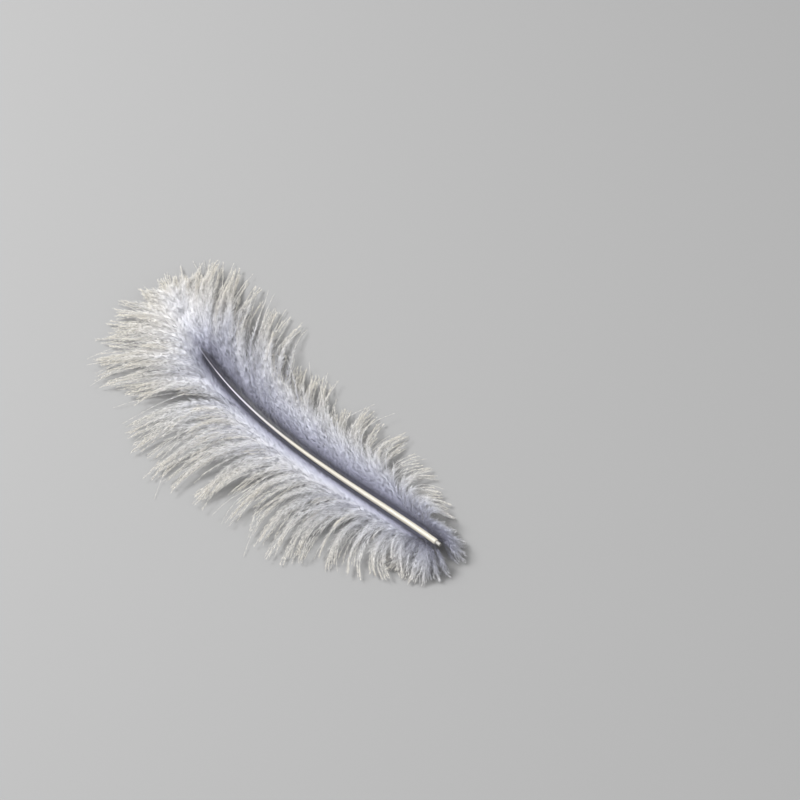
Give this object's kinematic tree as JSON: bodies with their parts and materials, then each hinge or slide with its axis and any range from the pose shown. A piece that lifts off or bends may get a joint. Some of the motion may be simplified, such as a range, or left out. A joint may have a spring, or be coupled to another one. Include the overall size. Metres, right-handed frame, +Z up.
{
  "type": "goose quill feather",
  "caption": "Soft fluffy lilac-grey plume lying on a surface: a bowed ivory quill with a vane of loose down locks on each side.",
  "frame": {"origin": "on the ground under the middle of the feather's footprint", "axes": "+Y runs from the cut end of the quill to its tip, +Z is up, with the hollow side of the quill up"},
  "size_m": [0.0765, 0.1457, 0.0122],
  "materials": {
    "down": "soft matte down, lilac-grey near the quill and warm light grey at the tips",
    "quill": "smooth ivory horn with a soft shine"
  },
  "bodies": {
    "root": {"feather": "down"}
  },
  "joints": []
}
